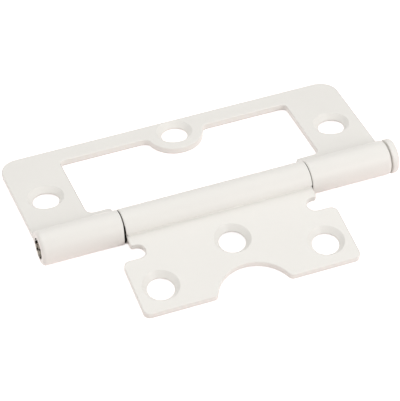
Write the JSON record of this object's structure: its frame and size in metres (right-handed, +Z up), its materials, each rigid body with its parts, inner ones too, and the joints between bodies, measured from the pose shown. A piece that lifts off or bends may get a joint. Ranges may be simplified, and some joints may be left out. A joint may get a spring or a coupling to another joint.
{
  "type": "flush hinge",
  "caption": "White painted steel flush hinge: a frame-shaped leaf, a smaller leaf that nests in its window, and a headed pin.",
  "frame": {"origin": "bottom centre of the bounding box, with the hinge lying opened on a table at z = 0", "axes": "+X along the pin towards its head, +Y towards the outer leaf, +Z up; each leaf droops a few degrees from the pin"},
  "size_m": [0.0768, 0.0522, 0.0073],
  "materials": {
    "white_paint": "satin powder coat",
    "pin_steel": "painted head, bare shank"
  },
  "bodies": {
    "outer": {"outer_leaf": "white_paint", "hinge_pin": "pin_steel"},
    "inner": {"inner_leaf": "white_paint"}
  },
  "joints": [
    {"name": "hinge", "type": "hinge", "parent": "outer", "child": "inner", "pos_m": [-0.00093, -0.00319, 0.00365], "axis": [1, 0, 0], "continuous": true}
  ]
}
